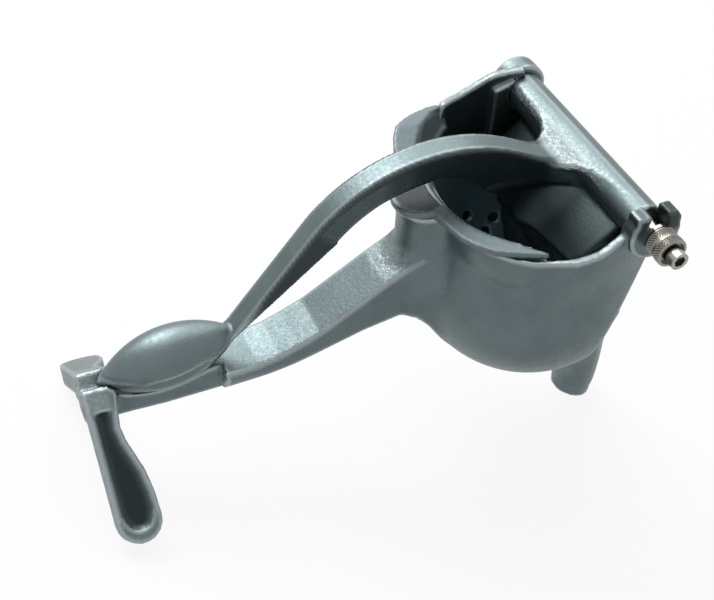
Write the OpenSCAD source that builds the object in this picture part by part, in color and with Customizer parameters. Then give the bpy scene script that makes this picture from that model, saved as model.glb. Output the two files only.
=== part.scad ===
// Hand lever citrus press. Two aluminium castings share one steel pivot pin:
// a cup with a long handle that ends in a splayed stand, and a lever with a
// press head and a grip. A perforated strainer drops into the cup.
// Everything is drawn upright about the pivot pin, with the cup's rim level,
// then leaned so that the foot and the two legs meet the table at z = 0.

/* [Hinge] */
// Gap between the two ears of the cup
ear_gap = 78; // [76:0.5:84]
// Diameter of the pivot pin
pin_d = 6; // [5:0.2:7]
// Outside diameter of the lever's hub barrel
hub_d = 12.6; // [11.6:0.2:14]
// Diameter of the round bosses on the ears
boss_d = 17.6; // [16:0.2:20]
// Length of the closed far boss
far_boss_len = 7.6; // [6:0.2:10]
// Thickness of the slotted near ear
near_ear_t = 6.3; // [5:0.1:8]
// Running clearance around the pin
pin_fit = 0.05; // [0.02:0.01:0.08]
// Clearance between faces that move past each other
gap = 0.35; // [0.3:0.05:0.5]

/* [Cup] */
// Outside radius of the round cup
cup_r = 41.8; // [40:0.2:43]
// Wall thickness of the cup
cup_wall = 3; // [2.4:0.1:3.4]
// Distance from the pivot to the cup's axis
cup_back = 13.9; // [12:0.1:16]
// Depth from the pivot to where the round bottom starts
cup_depth = 39.6; // [34:0.2:44]
// Depth of the level rim below the pivot
rim_drop = 4.5; // [3.5:0.1:5.5]
// Distance behind the pivot to the flat back wall
back_x = 9.5; // [9:0.1:11]
// Lean of the flat back wall, in degrees
back_lean = 7; // [4:0.5:9]

/* [Foot and stand] */
// Radius of the foot at its sole
foot_r = 7.6; // [6:0.1:9]
// Distance behind the pivot to the foot's axis
foot_x = 18.2; // [16:0.2:20]
// Depth from the pivot to the foot's sole
foot_drop = 118.7; // [112:0.5:126]
// Distance in front of the pivot to the stand's end
stand_x = 172.4; // [160:1:185]
// Depth from the pivot to the stand's flat top
stand_drop = 49.9; // [46:0.5:54]
// Width of the stand's block
stand_w = 18.4; // [16:0.2:22]
// Length of the stand's flat top
stand_len = 9; // [7:0.2:12]
// Length of a leg along its top face
leg_len = 43; // [34:0.5:46]
// Thickness of a leg
leg_t = 7.5; // [6:0.1:9]
// Width of a leg at its round tip
leg_tip_w = 14.2; // [12:0.2:17]
// Width of a leg at its neck
leg_neck_w = 9; // [7:0.2:11]
// Slope of the legs, in degrees
leg_splay = 40; // [34:1:46]
// Depth of the recess in the top face of a leg
leg_recess = 1.4; // [0.8:0.1:2.5]

/* [Handle and lever] */
// Width of the handle bar and of the lever's arm
bar_w = 9; // [7:0.2:11]
// Depth of the lever's arm, top to underside
arm_t = 10.2; // [8:0.2:12]
// Radius of the arm's arch over the cup, to its top
arch_r = 57; // [54:0.5:60]
// Largest diameter of the grip
grip_d = 20; // [16:0.2:22]
// Length of the grip
grip_len = 49; // [44:0.5:54]
// Clearance of the grip in the handle's pocket
pocket_gap = 0.4; // [0.3:0.05:0.6]
// Reach of the press head from the pivot
head_r = 48; // [42:0.5:50]

/* [Strainer] */
// Wall thickness of the strainer
sieve_wall = 2.2; // [1.6:0.1:2.6]
// Clearance between the strainer and the cup
sieve_gap = 0.9; // [0.6:0.05:1.2]
// Thickness of the strainer's rim flange
flange_t = 2; // [1.6:0.1:3]
// Diameter of the juice holes
hole_d = 4; // [3:0.2:5]

/* [Clamp nut] */
// Outside diameter of the knurled nut
nut_d = 10.4; // [9.6:0.2:12]
// Length of each of the nut's two knurled bands
band_len = 3.4; // [2.6:0.1:4.2]
// Width of the groove between the bands
groove_w = 0.6; // [0.4:0.1:1]
// Thickness of the collar between the ear and the nut
collar_t = 1.2; // [0.8:0.1:2]
// Length of pin that stands out past the nut
pin_out = 3.8; // [3:0.1:6]
// Width across the flats of the socket in the pin's end
socket_w = 3.4; // [2.5:0.1:3.6]

/* [Hidden] */
$fn = 96;
casting = "#8f9b9c";
dark_casting = "#7c888a";
nickel = "#a39c94";
big = 400;                       // past every surface, for cutting blocks

ear_y = ear_gap / 2;             // inner face of each ear
hub_r = hub_d / 2;
cup_in = cup_r - cup_wall;       // inside radius of the cup
cup_x = -cup_back;               // the cup's axis
eq_z = -cup_depth;               // level where the round bottom starts
rim_z = -rim_drop;
rim_front_x = cup_x - cup_r;     // the rim where it meets the column
boss_r = boss_d / 2;
column_r = 9.2;                  // half-round column under the strainer's tab
column_x = rim_front_x - 0.3;
sieve_r = cup_in - sieve_gap;    // outside radius of the strainer's bowl
sieve_in = sieve_r - sieve_wall;
sieve_back_x = -5;               // the strainer ends here, ahead of the pivot

// Where a leg touches the table, measured from the pivot; its tip is ground flat there
leg_tip_r = leg_tip_w / 2;
leg_ground = 1.5;
leg_low_x = -stand_x + 0.42 * leg_tip_r;
leg_low_z = -stand_drop - (leg_len - leg_ground) * sin(leg_splay) - leg_t * cos(leg_splay);
lean = atan((foot_drop + leg_low_z) / (foot_x - leg_low_x));

// Middle of the grip, and its slope in degrees
grip_mid = [-stand_x + stand_len / 2 + grip_len / 2, -stand_drop + grip_d / 2 - 3.6];
grip_tilt = 9;

// Arch of the arm: centre of its arcs, and where it turns straight
arch_x = -52.5;
arch_z = 16 - arch_r;
arch_end = 139;                  // in degrees round the arch's centre
arm_end = [grip_mid[0] + grip_len * 0.44, grip_mid[1] + 6];

// Turns an outline drawn in X and Z into a slab of width w, centred on y = 0
module side(w) rotate([90, 0, 0]) linear_extrude(height = w, center = true) children();

// Leans the upright model onto the table, with the foot's sole at the origin
module stand_up()
    translate([-foot_x * cos(lean) - foot_drop * sin(lean), 0,
               foot_drop * cos(lean) - foot_x * sin(lean)])
        rotate([0, -lean, 0]) children();

// The same, trimmed flat where it meets the table
module on_table() intersection() {
    stand_up() children();
    translate([-big, -big / 2, 0]) cube(big * [2, 1, 1]);
}

// Points of an arc in X and Z, from angle a0 to a1
function arc(x, z, r, a0, a1, n = 16) =
    [for (i = [0:n]) let (a = a0 + (a1 - a0) * i / n) [x + r * cos(a), z + r * sin(a)]];

// A half outline given as [x, half width], closed by its mirror image
function both_sides(p) = concat(p, [for (i = [len(p) - 1:-1:0]) [p[i][0], -p[i][1]]]);
function both_sides_z(p) = concat(p, [for (i = [len(p) - 1:-1:1]) [-p[i][0], p[i][1]]]);

// ---- Cup casting ----

// Round cup with a ball-shaped bottom, radius r
module cup_round(r) translate([cup_x, 0, eq_z]) {
    sphere(r = r);
    cylinder(r = r, h = cup_depth + 20);
}

// Pour lip: the near wall swells out under the strainer's flange
lip_turn = -128;
lip_out = 16.5;
lip_r = 29.6;
module lip_ball(r) translate([cup_x, 0, rim_z - 0.5]) rotate(lip_turn)
    translate([lip_out, 0, 0]) sphere(r = r);

// Everything in front of the leaning back wall, moved forward by inset. Two
// more flats cut its corners, and lean the other way so it narrows to the foot
corner_turn = 40;                // in degrees from the back wall
corner_lean = 13;
corner_out = 31.8;               // distance of these flats from the pivot
module before_back(inset = 0) intersection() {
    translate([back_x, 0, 0]) rotate([0, -back_lean, 0])
        translate([-big - inset, -big / 2, -big / 2]) cube(big);
    intersection_for(way = [-1, 1]) rotate([0, 0, way * corner_turn]) rotate([0, corner_lean, 0])
        translate([corner_out - inset - big, -big / 2, -big / 2]) cube(big);
}

module cup_outside() intersection() {
    union() {
        cup_round(cup_r);
        lip_ball(lip_r);
    }
    before_back();
}

module cup_inside() intersection() {
    union() {
        cup_round(cup_in);
        lip_ball(lip_r - cup_wall);
    }
    before_back(cup_wall);
}

// What to keep below the rim: level in front, rising from rise_x to the ear
module below_rim(rise_x, rise_z) side(big) polygon([
    [-big, -big], [-big, rim_z], [rise_x, rim_z], [-hub_r + 2, rise_z],
    [-hub_r + 2, -hub_r - gap], [big, -hub_r - gap], [big, -big]]);

near_rise = [-18, 3.2];          // where each rim starts to rise, and how high it gets
far_rise = [-42, 8.6];
module half_space(way) translate([-big, way > 0 ? 0 : -big, -big]) cube(2 * [big, big / 2, big]);

module bosses(from) for (way = [0, 1]) mirror([0, way, 0])
    translate([0, from, 0]) rotate([-90, 0, 0]) cylinder(r = boss_r, h = big);

module cup_shape() difference() {
    cup_outside();
    cup_inside();
    difference() {
        half_space(-1);
        below_rim(near_rise[0], near_rise[1]);
    }
    difference() {
        half_space(1);
        below_rim(far_rise[0], far_rise[1]);
    }
    rotate([90, 0, 0]) cylinder(r = hub_r + gap, h = ear_gap, center = true);
    bosses(ear_y);
}

module cup() color(casting) on_table() cup_shape();

// Far ear: a closed boss, with a rib that stands down the inside of the wall
rib = [-12.5, -4];
rib_t = 2.4;                     // how far the rib stands in from the ear's inner face
rib_root = 1;                    // how far it runs into the wall
rib_depth = 30;
pin_floor = 2;                   // metal left at the closed end of the far boss
module far_ear() color(casting) stand_up() difference() {
    union() {
        translate([0, ear_y, 0]) rotate([-90, 0, 0]) cylinder(r = boss_r, h = far_boss_len);
        translate([rib[0], ear_y - rib_t, -rib_depth])
            cube([rib[1] - rib[0], rib_t + rib_root, rib_depth + pin_d / 3]);
    }
    translate([0, ear_y - 2 * rib_t, 0]) rotate([-90, 0, 0])
        cylinder(d = pin_d + 2 * pin_fit, h = 2 * rib_t + far_boss_len - pin_floor);
    rotate([90, 0, 0]) cylinder(r = hub_r + gap, h = ear_gap, center = true);
    cup_shape();
    translate([-big / 2, ear_y - rib_t, -big]) cube([big, rib_t, big - rib_depth - rib_root]);
}

// Near ear: a boss with two prongs, open on top so the pin can lift out
prong_h = 7.6;
module near_ear() color(casting) stand_up() difference() {
    union() {
        translate([0, -ear_y, 0]) rotate([90, 0, 0]) cylinder(r = boss_r, h = near_ear_t);
        translate([-boss_r + 1.2, -ear_y - near_ear_t, 0]) cube([2 * boss_r - 2, near_ear_t, prong_h]);
    }
    rotate([90, 0, 0]) cylinder(d = pin_d + 2 * pin_fit, h = big);
    translate([-pin_d / 2 - pin_fit, -big, 0]) cube([pin_d + 2 * pin_fit, big, boss_d]);
    cup_shape();
}

// Side outline of the handle, from the column to the stand
handle_under = [
    [-stand_x, -stand_drop - 10.1], [-157, -60.3], [-146, -61], [-128, -60.4], [-113, -57.3],
    [-100, -53], [-79, -46.8], [-66, -44.3], [-60, -45.8], [-54, -51], [-44, -62]];
handle_side = concat(
    [[-44, -22], [-62, -22.2], [-72.6, -28.2], [-80, -33], [-94.7, -42.3], [-102, -45.5],
     [-113, -49.3], [-122, -stand_drop], [-stand_x, -stand_drop]],
    handle_under);

// Half widths of the handle along its length
handle_plan = [
    [-44, bar_w / 2], [-100, bar_w / 2], [-112, bar_w / 2 + 2.2], [-126, stand_w / 2],
    [-stand_x, stand_w / 2]];

// End view of the handle, with its lower edges eased under the pocket
handle_end = [
    [0, 0], [stand_w / 2, 0], [stand_w / 2, -stand_drop - 4.6], [bar_w / 2, -stand_drop - 11.2],
    [0, -stand_drop - 11.2]];

// Half-round column under the strainer's tab, as deep as the handle's root
module column_shape() difference() {
    intersection() {
        translate([column_x, 0, -big / 2]) cylinder(r = column_r, h = big / 2 + rim_z);
        side(big) polygon(concat([[-stand_x, rim_z], [-44, rim_z]], [for (i = [10:-1:0]) handle_under[i]]));
        translate([column_x - big, -big / 2, -big]) cube([big + 2, big, big]);
    }
    cup_outside();
}

module column() color(casting) stand_up() column_shape();

// Spindle of the grip, grown by grow all round
grip_arc = (grip_len * grip_len + grip_d * grip_d) / (4 * grip_d);
module spindle(grow = 0) translate([grip_mid[0], 0, grip_mid[1]]) rotate([0, 90 - grip_tilt, 0])
    rotate_extrude() polygon(concat(
        [[0, -grip_len / 2 - grow]],
        [for (t = [-0.95:0.19:0.96]) let (y = t * grip_len / 2)
            [sqrt(grip_arc * grip_arc - y * y) - grip_arc + grip_d / 2 + grow, y]],
        [[0, grip_len / 2 + grow]]));

module handle() color(casting) stand_up() difference() {
    intersection() {
        side(stand_w + 4) polygon(handle_side);
        translate([0, 0, -big / 2]) linear_extrude(height = big) polygon(both_sides(handle_plan));
        rotate([90, 0, 90]) linear_extrude(height = big, center = true) polygon(concat(
            handle_end, [for (i = [3:-1:1]) [-handle_end[i][0], handle_end[i][1]]]));
    }
    spindle(pocket_gap);
    cup_outside();
    translate([column_x, 0, -big / 2]) cylinder(r = column_r, h = big);
    translate([column_x, -big / 2, -big / 2]) cube(big);
}

// Top view of a leg, from its root in the block to its round tip
module leg_outline(inset = 0) {
    translate([leg_tip_r, leg_len - leg_tip_r]) circle(r = leg_tip_r - inset);
    polygon([[inset, -8 + inset], [stand_len + 1.4 - inset, -8 + inset], [leg_neck_w - inset, 7],
             [leg_neck_w + 1 - inset, 14], [leg_tip_w - 1.4 - inset, 24],
             [leg_tip_w - inset, leg_len - leg_tip_r], [inset, leg_len - leg_tip_r]]);
}

// One leg on the +y side: a slab with a recessed top face
module leg() difference() {
    translate([-stand_x, stand_w / 2, -stand_drop]) rotate([-leg_splay, 0, 0]) difference() {
        translate([0, 0, -leg_t]) linear_extrude(height = leg_t) leg_outline();
        translate([0, 0, -leg_recess]) linear_extrude(height = leg_t) leg_outline(1.3);
    }
    translate([-big, -stand_w / 2, -big / 2]) cube([2 * big, stand_w, big]);
}

module left_leg() color(casting) on_table() leg();
module right_leg() color(casting) on_table() mirror([0, 1, 0]) leg();

// Foot under the back of the cup, with a buttress that spreads up the back wall
foot_top = -foot_drop + 38;
buttress = [[0, -40], [17, -44], [19, -60], [14, -80], [foot_r, -98], [foot_r, -foot_drop + 12]];
buttress_t = 12;
module foot() color(casting) on_table() difference() {
    union() {
        translate([foot_x, 0, -foot_drop - 3]) cylinder(r = foot_r, h = foot_top + foot_drop + 3);
        translate([foot_x, 0, foot_top]) sphere(r = foot_r);
        translate([back_x, 0, 0]) rotate([0, -back_lean, 0]) translate([-buttress_t - 0.02, 0, 0])
            rotate([90, 0, 90]) linear_extrude(height = buttress_t) polygon(both_sides_z(buttress));
    }
    cup_outside();
}

// ---- Strainer ----

// Body-of-turning that the strainer's bowl is cut from
module sieve_round(r) translate([cup_x, 0, eq_z]) {
    sphere(r = r);
    cylinder(r = r, h = cup_depth + rim_z + 1);
}

// Directions of the juice holes: [angle round the cup's axis, angle below level]
holes = concat(
    [for (a = [96:28:264]) [a, 14]],
    [for (a = [110:28:250]) [a, 34]],
    [for (a = [96:42:264]) [a, 54]]);

// Half outline of the flange that rests on the rim, from the tab to its tip
flange_plan = [
    [column_x, column_r], [rim_front_x - 3, 16], [rim_front_x - 0.5, 24], [-51, 31.3],
    [-44, 36], [-36.5, 39.6], [-31.5, 41], [-31, 39], [-37, 30]];

module strainer() color(dark_casting) stand_up() difference() {
    union() {
        intersection() {
            difference() {
                sieve_round(sieve_r);
                sieve_round(sieve_in);
            }
            translate([-big + sieve_back_x, -big / 2, -big + rim_z + 0.01]) cube(big);
        }
        difference() {
            translate([0, 0, rim_z]) linear_extrude(height = flange_t) union() {
                polygon(both_sides(flange_plan));
                translate([column_x - 1.5, 0]) circle(r = column_r);
            }
            translate([cup_x, 0, rim_z - 1]) cylinder(r = sieve_in, h = flange_t + 2);
        }
    }
    // the far wall stands above the flange here, so the flange stays inside it
    difference() {
        translate([-42, 0, rim_z - 1]) cube([big, big, flange_t + 2]);
        translate([cup_x, 0, rim_z - 2]) cylinder(r = cup_in, h = flange_t + 4);
    }
    translate([rib[0] - gap, ear_y - rib_t - gap, -big]) cube([big, big, 2 * big]);
    // the inner edge of the flange is eased
    translate([cup_x, 0, rim_z - 0.5]) cylinder(r1 = sieve_in, r2 = cup_in + 1, h = flange_t + 1);
    cup_shape();
    for (h = holes)
        translate([cup_x, 0, eq_z]) rotate([0, h[1], h[0]]) translate([sieve_in - 5, 0, 0])
            rotate([0, 90, 0]) cylinder(d = hole_d, h = 12, $fn = 24);
}

// ---- Pivot hardware ----

nut_y = ear_y + near_ear_t + collar_t + gap;  // inner face of the nut
nut_len = 2 * band_len + groove_w;
pin_end_y = nut_y + nut_len + pin_out;

module pivot_pin() color(nickel) stand_up() difference() {
    translate([0, ear_y + far_boss_len - 2.2, 0]) rotate([90, 0, 0])
        cylinder(d = pin_d, h = ear_y + far_boss_len - 2.2 + pin_end_y);
    translate([0, -pin_end_y + 3, 0]) rotate([90, 0, 0])
        cylinder(d = socket_w / cos(30), h = 4, $fn = 6);
}

module pin_collar() color(nickel) stand_up() difference() {
    translate([0, -ear_y - near_ear_t, 0]) rotate([90, 0, 0]) cylinder(d = nut_d - 1, h = collar_t);
    rotate([90, 0, 0]) cylinder(d = pin_d, h = big);
}

module clamp_nut() color(nickel) stand_up() difference() {
    translate([0, -nut_y, 0]) rotate([90, 0, 0]) {
        cylinder(d = nut_d, h = band_len);
        cylinder(d = nut_d - 1, h = nut_len);
        translate([0, 0, band_len + groove_w]) cylinder(d = nut_d, h = band_len);
    }
    rotate([90, 0, 0]) cylinder(d = pin_d + 2 * pin_fit, h = big);
    translate([0, -nut_y - nut_len + 1.4, 0]) rotate([90, 0, 0]) cylinder(d = pin_d + 2, h = big);
}

// ---- Lever casting ----

module hub_bore() rotate([90, 0, 0]) cylinder(d = pin_d + 2 * pin_fit, h = ear_gap, center = true);
module hub_solid() rotate([90, 0, 0]) cylinder(r = hub_r, h = ear_gap - 2 * gap, center = true);

module lever_hub() color(casting) stand_up() difference() {
    hub_solid();
    hub_bore();
}

// Round hollow under the arm, which runs on down the front edge of the press head
hollow_x = -76.1;
hollow_z = -54.7;
hollow_r = 65.1;
web_z = -4.1;                    // underside of the arm's web and top of the press head

// Side outline of the arm: an arch over the cup, then a straight run down to the grip
arm_side = concat(
    [[0, 3]],
    arc(arch_x, arch_z, arch_r, 51, arch_end),
    [arm_end, [arm_end[0] - 7, arm_end[1] - 8]],
    arc(arch_x, arch_z, arch_r - arm_t, arch_end, 92),
    arc(hollow_x, hollow_z, hollow_r, 67, asin((web_z - hollow_z) / hollow_r), 8), [[0, web_z]]);

// Side outline and plan of the fan where the arm spreads out to the hub
fan_side = [
    [0, hub_r - 0.6], [-5, 4.4], [-14, 3.6], [-20, 5.6], [-34, 11.8], [-34, 2], [-24, web_z], [0, web_z]];
fan_plan = [
    [2, ear_y - gap], [-4.6, ear_y - gap], [-5.1, 25.6], [-5.5, 20], [-6.5, 15.6], [-8.6, 11.4],
    [-12, 8], [-17.4, 5.2], [-34, bar_w / 2]];

module arm_shape() difference() {
    union() {
        side(bar_w) polygon(arm_side);
        intersection() {
            side(big) polygon(fan_side);
            linear_extrude(height = big, center = true) polygon(both_sides(fan_plan));
        }
    }
    hub_solid();
}

module lever_arm() color(casting) stand_up() arm_shape();

// Outlines of the press head: from the side, from the front, and the half
// widths at which it swings in past the strainer's round rim
head_side = [[hollow_x, web_z], [hollow_x, -60], [20, -60], [20, -12], [4, web_z]];
head_front = [[11, web_z], [16, -12], [24, -19], [ear_y, -25], [ear_y, -60]];
head_swing = [[1, 32], [22, 32], [31, 29], [39, 22.5], [45, 12], [head_r, 4]];

// The front is a blunt plough: it falls back on both sides of the arm's web
plough = 23;                     // in degrees
plough_step = 0.8;               // how far each side starts behind the web
plough_x = hollow_x - hollow_r / cos(plough) + hollow_r - plough_step;

// Balls that scoop out its upper corners, under the fan
scoop = [-26, 29.4, 4];
scoop_r = 25.5;

module press_head() color(dark_casting) stand_up() difference() {
    intersection() {
        side(ear_gap) polygon(head_side);
        rotate([90, 0, 90]) linear_extrude(height = big, center = true) polygon(both_sides_z(concat(
            [[0, web_z]], head_front)));
        rotate([90, 0, 0]) rotate_extrude() polygon(both_sides(head_swing));
        before_back(cup_wall + 1.5);
    }
    translate([hollow_x, 0, hollow_z]) rotate([90, 0, 0]) cylinder(r = hollow_r, h = big, center = true);
    for (way = [-1, 1]) {
        translate([plough_x, way * bar_w / 2, hollow_z]) rotate([90, 0, -way * plough])
            cylinder(r = hollow_r, h = big, center = true);
        translate([scoop[0], way * scoop[1], scoop[2]]) sphere(r = scoop_r);
    }
    hub_solid();
}

module grip() color(casting) stand_up() difference() {
    spindle();
    arm_shape();
}

cup();
far_ear();
near_ear();
column();
handle();
foot();
left_leg();
right_leg();
strainer();
pivot_pin();
pin_collar();
clamp_nut();
lever_hub();
lever_arm();
press_head();
grip();
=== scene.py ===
# A hand lever citrus press, put together piece by piece.
# Lengths inside a section are in millimetres about the pivot pin, with the
# cup's rim level: x towards the back of the cup, y along the pin, z up.

import math

import bpy
import numpy as np
from mathutils import Matrix, Vector


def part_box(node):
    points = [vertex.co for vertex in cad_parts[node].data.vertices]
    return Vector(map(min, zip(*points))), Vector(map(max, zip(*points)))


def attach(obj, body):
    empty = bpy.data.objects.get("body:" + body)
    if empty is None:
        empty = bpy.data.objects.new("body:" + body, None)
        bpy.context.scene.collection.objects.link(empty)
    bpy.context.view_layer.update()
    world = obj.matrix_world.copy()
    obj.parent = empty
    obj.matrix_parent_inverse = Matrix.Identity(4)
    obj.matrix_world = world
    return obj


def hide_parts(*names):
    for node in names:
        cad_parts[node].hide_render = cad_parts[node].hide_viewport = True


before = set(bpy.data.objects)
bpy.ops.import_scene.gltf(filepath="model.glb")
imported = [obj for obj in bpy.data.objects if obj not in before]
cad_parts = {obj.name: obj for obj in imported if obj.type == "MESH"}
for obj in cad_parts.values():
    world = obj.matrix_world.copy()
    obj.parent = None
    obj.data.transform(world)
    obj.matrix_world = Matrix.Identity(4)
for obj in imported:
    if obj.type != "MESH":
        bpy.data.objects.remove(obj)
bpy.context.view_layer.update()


# ---------------------------------------------------------------------------
# The table and the viewpoint. The press stands on a plain white table and is
# looked at from above its near left side, with a long lens held a little askew.

azimuth, height_angle, tilt = (math.radians(a) for a in (34.18, 37.87, 16.18))
look_at = Vector((-0.10929, 0.0, 0.0579))
view_distance = 0.41807

level_right = Vector((math.cos(azimuth), -math.sin(azimuth), 0.0))
level_up = Vector((math.sin(azimuth) * math.sin(height_angle),
                   math.cos(azimuth) * math.sin(height_angle), math.cos(height_angle)))
view_back = Vector((-math.sin(azimuth) * math.cos(height_angle),
                    -math.cos(azimuth) * math.cos(height_angle), math.sin(height_angle)))
view_right = math.cos(tilt) * level_right + math.sin(tilt) * level_up
view_up = math.cos(tilt) * level_up - math.sin(tilt) * level_right

camera_data = bpy.data.cameras.new("camera")
camera_data.sensor_width = 36.0
camera_data.lens = 63.548573
camera_data.clip_start = 0.01
camera = bpy.data.objects.new("camera", camera_data)
camera.matrix_world = Matrix.Translation(look_at + view_distance * view_back) @ Matrix(
    (view_right, view_up, view_back)).transposed().to_4x4()
bpy.context.scene.collection.objects.link(camera)
bpy.context.scene.camera = camera
bpy.context.scene.view_settings.view_transform = "Standard"


def colour(hex_text):
    """sRGB hex to a linear colour."""
    channels = [int(hex_text[i:i + 2], 16) / 255.0 for i in (1, 3, 5)]
    return [c / 12.92 if c <= 0.04045 else ((c + 0.055) / 1.055) ** 2.4 for c in channels] + [1.0]


def new_material(name):
    """A node material with nothing in it yet."""
    material = bpy.data.materials.new(name)
    material.use_nodes = True
    material.node_tree.nodes.clear()
    return material


def add(tree, kind, links=(), values=(), **settings):
    """Adds a node, sets its fields or its input sockets by name, and links it.

    A link is (input socket, other node, output socket), a value (input socket, number)."""
    node = tree.nodes.new(kind)
    for socket, value in values:
        node.inputs[socket].default_value = value
    for key, value in settings.items():
        if hasattr(node, key):
            setattr(node, key, value)
        else:
            node.inputs[key.replace("_", " ")].default_value = value
    for socket, other, output in links:
        tree.links.new(other.outputs[output], node.inputs[socket])
    return node


def paper_white(tree):
    """One wherever the camera or a reflection looks, and nought for the light that falls on the press."""
    path = add(tree, "ShaderNodeLightPath")
    mirrored = add(tree, "ShaderNodeMath", [(0, path, "Is Glossy Ray"), (1, path, "Is Transmission Ray")],
                   operation="MAXIMUM")
    return add(tree, "ShaderNodeMath", [(0, path, "Is Camera Ray"), (1, mirrored, 0)], operation="MAXIMUM")


# Matt white card under the press. It shows as plain white, but a tenth of it takes the real
# light, which keeps a faint shadow.
shadow_share, table_half = 0.1, 6.0
table_material = new_material("white_table")
tree = table_material.node_tree
matte = add(tree, "ShaderNodeBsdfDiffuse", Color=colour("#f4f6f6"))
glow = add(tree, "ShaderNodeEmission", Color=(1.0, 1.0, 1.0, 1.0), Strength=1.0)
share = add(tree, "ShaderNodeMath", [(0, paper_white(tree), 0)], [(1, 1.0 - shadow_share)],
            operation="MULTIPLY")
mixed = add(tree, "ShaderNodeMixShader", [(0, share, 0), (1, matte, 0), (2, glow, 0)])
add(tree, "ShaderNodeOutputMaterial", [("Surface", mixed, 0)])

table_mesh = bpy.data.meshes.new("table")
table_corners = [(-table_half, -table_half, 0), (table_half, -table_half, 0),
                 (table_half, table_half, 0), (-table_half, table_half, 0)]
table_mesh.from_pydata(table_corners, [], [(0, 1, 2, 3)])
table_mesh.materials.append(table_material)
table = bpy.data.objects.new("table", table_mesh)
bpy.context.scene.collection.objects.link(table)

# The studio is white to the eye and in reflections, and dim as a light.
world = bpy.data.worlds.new("studio")
bpy.context.scene.world = world
world.use_nodes = True
world.node_tree.nodes.clear()
tree = world.node_tree
dim = add(tree, "ShaderNodeBackground", Color=colour("#cfd8dc"), Strength=0.27)
white = add(tree, "ShaderNodeBackground", Color=(1.0, 1.0, 1.0, 1.0), Strength=1.0)
mixed = add(tree, "ShaderNodeMixShader", [(0, paper_white(tree), 0), (1, dim, 0), (2, white, 0)])
add(tree, "ShaderNodeOutputWorld", [("Surface", mixed, 0)])


press_middle = Vector((-0.09, 0.0, 0.07))


def softbox(name, direction, distance, size, power):
    """A square studio light that faces the middle of the press, in metres and watts."""
    data = bpy.data.lights.new(name, "AREA")
    data.shape = "SQUARE"
    data.size = size
    data.energy = power
    light = bpy.data.objects.new(name, data)
    aim = Vector(direction).normalized()
    turned = aim.to_track_quat("Z", "Y").to_matrix().to_4x4()
    light.matrix_world = Matrix.Translation(press_middle + aim * distance) @ turned
    bpy.context.scene.collection.objects.link(light)


softbox("back_left_softbox", (-0.32, 0.65, 0.68), 1.3, 0.5, 7.0)
softbox("far_overhead_panel", (0.0, 0.56, 0.83), 1.4, 1.7, 20.0)


# ---------------------------------------------------------------------------
# Cup casting. One piece of sand-cast aluminium: the cup, its two ears, the
# handle with its grip pocket and splayed legs, and the foot. Everything flows
# together in fillets, as the sand mould left it, and only flats are ground.

lean = math.radians(10.973)
hub_low, hub_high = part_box("lever_hub")
pin_place = [500.0 * (hub_low[i] + hub_high[i]) for i in range(3)]


def upright(points):
    """From the table's frame in metres to the upright body's millimetres."""
    x, y, z = (1000.0 * points[:, i] - pin_place[i] for i in range(3))
    return (math.cos(lean) * x + math.sin(lean) * z, y, math.cos(lean) * z - math.sin(lean) * x)


def blend(a, b, k):
    """Joins two shapes with a fillet of about k."""
    h = np.maximum(k - np.abs(a - b), 0.0) / k
    return np.minimum(a, b) - h * h * k * 0.25


def ease(a, b, k):
    """Keeps what is inside both shapes, with edges eased by about k."""
    return -blend(-a, -b, k)


def ramp(value, start, length):
    """Nought at start, one at start + length, and even between. A length below nought turns it round."""
    return np.clip((value - start) / length, 0.0, 1.0)


def outline(u, v, points):
    """Distance to a closed outline, negative inside."""
    nearest = np.full(u.shape, 1e9, np.float32)
    inside = np.zeros(u.shape, bool)
    for (au, av), (bu, bv) in zip(points, points[1:] + points[:1]):
        eu, ev = bu - au, bv - av
        t = np.clip(((u - au) * eu + (v - av) * ev) / (eu * eu + ev * ev), 0.0, 1.0)
        nearest = np.minimum(nearest, (u - au - t * eu) ** 2 + (v - av - t * ev) ** 2)
        if av != bv:
            inside ^= ((av > v) != (bv > v)) & (u < au + eu * (v - av) / ev)
    return np.where(inside, -1.0, 1.0) * np.sqrt(nearest)


def plate(flat, across, half, r):
    """Gives an outline a thickness of 2 * half, with edges rounded by r."""
    a, b = flat + r, np.abs(across) - half + r
    return np.minimum(np.maximum(a, b), 0.0) + np.hypot(np.maximum(a, 0.0), np.maximum(b, 0.0)) - r


def rod(x, z, y, r, y0, y1, edge):
    """A round bar along the pin, from y0 to y1, with its rims eased by edge."""
    return plate(np.hypot(x, z) - r, y - (y0 + y1) / 2, (y1 - y0) / 2, edge)


def arc(cx, cz, r, start, end, steps):
    """Points along an arc, its ends given in degrees."""
    angles = [math.radians(start + (end - start) * i / steps) for i in range(steps + 1)]
    return [(cx + r * math.cos(a), cz + r * math.sin(a)) for a in angles]


# cup: centre, outside radius, wall, height of the ball's centre and of the front rim
cup_x, cup_r, cup_wall, round_z, rim_z = -13.9, 41.8, 3.0, -39.6, -4.5
# pour lip: a ball that swells out of the near wall, placed from the cup's centre
lip_ahead, lip_near, lip_down, lip_r = 10.2, 13.0, 5.0, 29.6
back_x, back_slope = 9.5, math.radians(7)
corner_turn, corner_slope, corner_out = math.radians(40), math.radians(13), 32.0
lift_height, lift_from, lift_over = 5.1, 6.0, 24.0
# foot and stand
foot_x, foot_r, sole_z = 18.2, 7.6, -118.7
stand_x, stand_z, stand_half, bar_half = -172.4, -49.9, 9.2, 4.5
leg_splay, leg_len, leg_t, leg_tip_r, channel_deep = math.radians(40), 43.0, 7.5, 7.1, 2.0
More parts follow.
